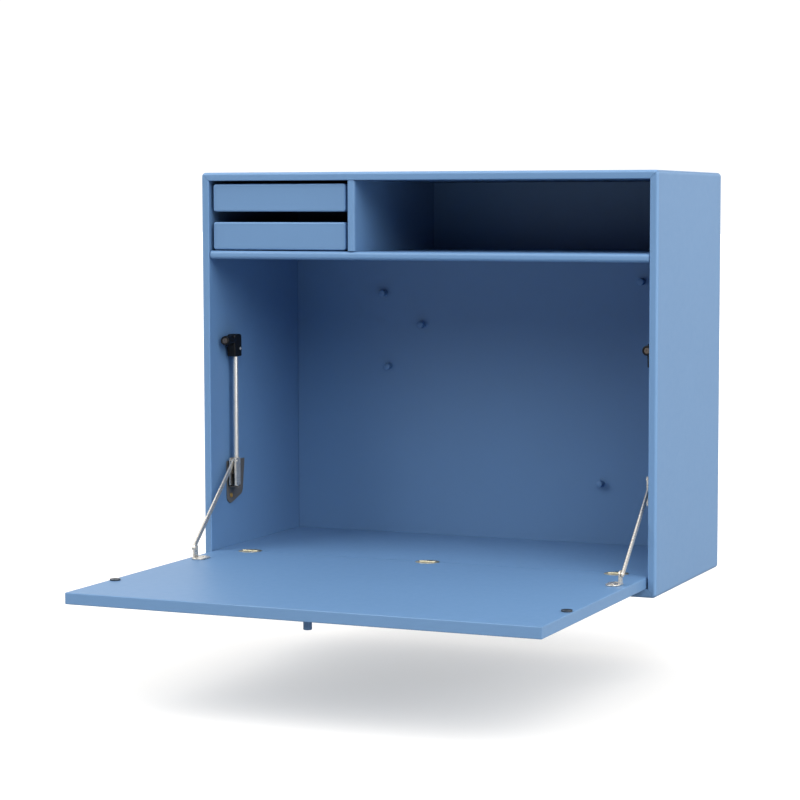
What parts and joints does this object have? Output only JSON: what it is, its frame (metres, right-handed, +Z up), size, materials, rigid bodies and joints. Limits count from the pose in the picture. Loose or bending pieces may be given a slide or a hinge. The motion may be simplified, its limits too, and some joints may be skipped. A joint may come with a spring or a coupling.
{
  "type": "secretary desk",
  "caption": "Wall-hung secretary desk in blue lacquer: open shelf above, shallow trays and a fall flap on side stays that opens to a writing surface.",
  "frame": {"origin": "centre of the cabinet's back face, which lies against the wall", "axes": "+Y points out of the back face into the wall, +Z up, +X to the right of someone facing the desk"},
  "size_m": [0.696, 0.705, 0.5875],
  "materials": {
    "lacquer": "smooth satin blue lacquer on fibreboard",
    "tray_board": "thin lacquered hardboard",
    "nickel_plate": "nickel-plated folded steel",
    "rod_steel": "polished plated rod",
    "hinge_metal": "pale brass-toned nickel plate",
    "brass": "plain brass screw",
    "strike_steel": "dark steel disc",
    "magnet": "grey sintered magnet",
    "black_plastic": "black moulded plastic"
  },
  "bodies": {
    "carcass": {"back_panel": "lacquer", "bottom_panel": "lacquer", "divider": "lacquer", "hinge_left_floor_cup": "hinge_metal", "hinge_left_pin": "hinge_metal", "hinge_middle_floor_cup": "hinge_metal", "hinge_middle_pin": "hinge_metal", "hinge_right_floor_cup": "hinge_metal", "hinge_right_pin": "hinge_metal", "inner_floor": "lacquer", "lower_runner_left": "black_plastic", "lower_runner_right": "black_plastic", "peg_1": "lacquer", "peg_2": "lacquer", "peg_3": "lacquer", "peg_4": "lacquer", "peg_5": "lacquer", "shelf": "lacquer", "side_panel_left": "lacquer", "side_panel_right": "lacquer", "stay_left_adjusting_screw": "nickel_plate", "stay_left_head": "black_plastic", "stay_left_magnet": "magnet", "stay_left_plate_screw": "brass", "stay_left_rod": "rod_steel", "stay_left_wall_plate": "nickel_plate", "stay_right_adjusting_screw": "nickel_plate", "stay_right_head": "black_plastic", "stay_right_magnet": "magnet", "stay_right_plate_screw": "brass", "stay_right_rod": "rod_steel", "stay_right_wall_plate": "nickel_plate", "top_panel": "lacquer", "upper_runner_left": "black_plastic", "upper_runner_right": "black_plastic"},
    "flap": {"flap_knob": "lacquer", "flap_panel": "lacquer", "hinge_left_flap_cup": "hinge_metal", "hinge_middle_flap_cup": "hinge_metal", "hinge_right_flap_cup": "hinge_metal", "stay_left_flap_bracket": "nickel_plate", "stay_right_flap_bracket": "nickel_plate", "strike_disc_left": "strike_steel", "strike_disc_right": "strike_steel"},
    "upper_tray": {"upper_tray_back": "lacquer", "upper_tray_bottom": "tray_board", "upper_tray_front": "lacquer", "upper_tray_side_left": "lacquer", "upper_tray_side_right": "lacquer"},
    "lower_tray": {"lower_tray_back": "lacquer", "lower_tray_bottom": "tray_board", "lower_tray_front": "lacquer", "lower_tray_side_left": "lacquer", "lower_tray_side_right": "lacquer"},
    "stay_left_arm_body": {"stay_left_arm": "nickel_plate"},
    "stay_right_arm_body": {"stay_right_arm": "nickel_plate"},
    "stay_left_slider_body": {"stay_left_brake_shoe": "black_plastic", "stay_left_slider": "nickel_plate"},
    "stay_right_slider_body": {"stay_right_brake_shoe": "black_plastic", "stay_right_slider": "nickel_plate"}
  },
  "joints": [
    {"name": "flap_hinge", "type": "hinge", "parent": "carcass", "child": "flap", "pos_m": [0, -0.278, -0.263], "axis": [-1, 0, 0], "range_deg": [0, 90]},
    {"name": "upper_tray_slide", "type": "slide", "parent": "carcass", "child": "upper_tray", "axis": [0, -1, 0], "range_m": [0, 0.2]},
    {"name": "lower_tray_slide", "type": "slide", "parent": "carcass", "child": "lower_tray", "axis": [0, -1, 0], "range_m": [0, 0.2]},
    {"name": "stay_left_arm_pivot", "type": "hinge", "parent": "flap", "child": "stay_left_arm_body", "pos_m": [-0.325, -0.374, -0.248], "axis": [1, 0, 0], "range_deg": [0, 133.2]},
    {"name": "stay_left_slider_travel", "type": "slide", "parent": "carcass", "child": "stay_left_slider_body", "axis": [0, 0, 1], "range_m": [0, 0.1349]},
    {"name": "stay_right_arm_pivot", "type": "hinge", "parent": "flap", "child": "stay_right_arm_body", "pos_m": [0.325, -0.374, -0.248], "axis": [1, 0, 0], "range_deg": [0, 133.2]},
    {"name": "stay_right_slider_travel", "type": "slide", "parent": "carcass", "child": "stay_right_slider_body", "axis": [0, 0, 1], "range_m": [0, 0.1349]}
  ],
  "couplings": [
    {"joint": "stay_left_arm_pivot", "follows": "flap_hinge", "ratio": 1.4794},
    {"joint": "stay_left_slider_travel", "follows": "flap_hinge", "m_per_rad": 0.085795},
    {"joint": "stay_right_arm_pivot", "follows": "flap_hinge", "ratio": 1.4794},
    {"joint": "stay_right_slider_travel", "follows": "flap_hinge", "m_per_rad": 0.085795}
  ]
}
